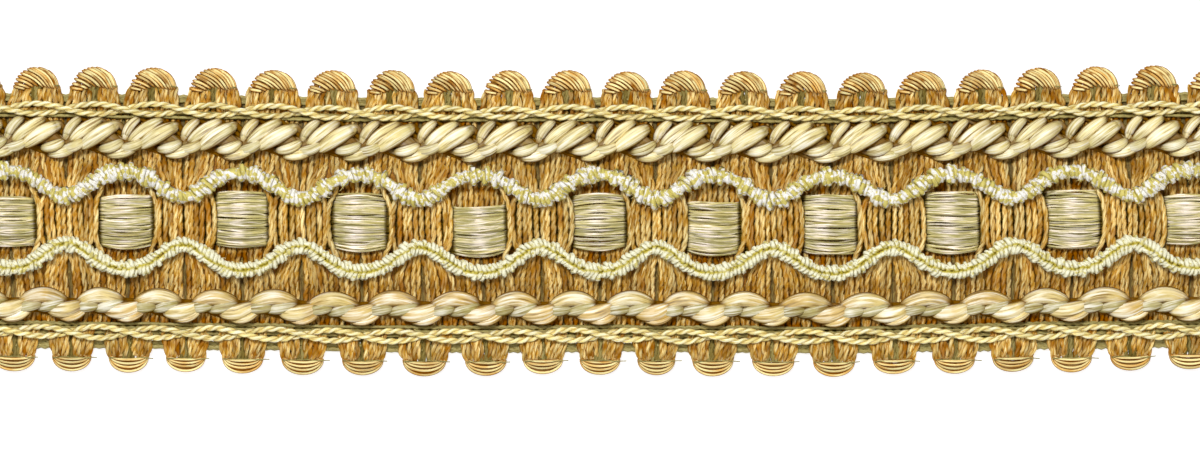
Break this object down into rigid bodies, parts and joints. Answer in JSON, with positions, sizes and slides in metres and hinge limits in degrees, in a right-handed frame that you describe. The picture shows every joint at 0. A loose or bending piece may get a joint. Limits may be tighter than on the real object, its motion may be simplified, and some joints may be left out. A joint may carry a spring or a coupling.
{
  "type": "gimp braid trim",
  "caption": "Flat decorative furnishing trim with looped edges, twisted cream ropes, waving wrapped cords and satin squares between gold yarn bars.",
  "frame": {"origin": "middle of the flat underside, at the bottom centre of the bounding box", "axes": "+X along the trim's length, +Y across it towards the edge beside the thick rope, +Z out of its face"},
  "size_m": [0.1366, 0.033, 0.004],
  "materials": {
    "gold_yarn": "lustrous two-ply gold rayon yarn",
    "cream_satin": "flat satin filaments, pale green-cream",
    "cream_rope_yarn": "thick lustrous three-ply satin rope",
    "white_and_yellow_wrap": "cord wrapped crosswise in white and yellow yarn, slightly fuzzy",
    "pale_green_cord": "thin two-ply pale green-gold cord"
  },
  "bodies": {
    "root": {"ground_band": "gold_yarn", "loop_edge_top": "gold_yarn", "loop_edge_bottom": "gold_yarn", "satin_band": "cream_satin", "cream_rope_top": "cream_rope_yarn", "cream_rope_bottom": "cream_rope_yarn", "wave_cord_top": "white_and_yellow_wrap", "wave_cord_bottom": "white_and_yellow_wrap", "edge_cord_top": "pale_green_cord", "edge_cord_bottom": "pale_green_cord"}
  },
  "joints": []
}
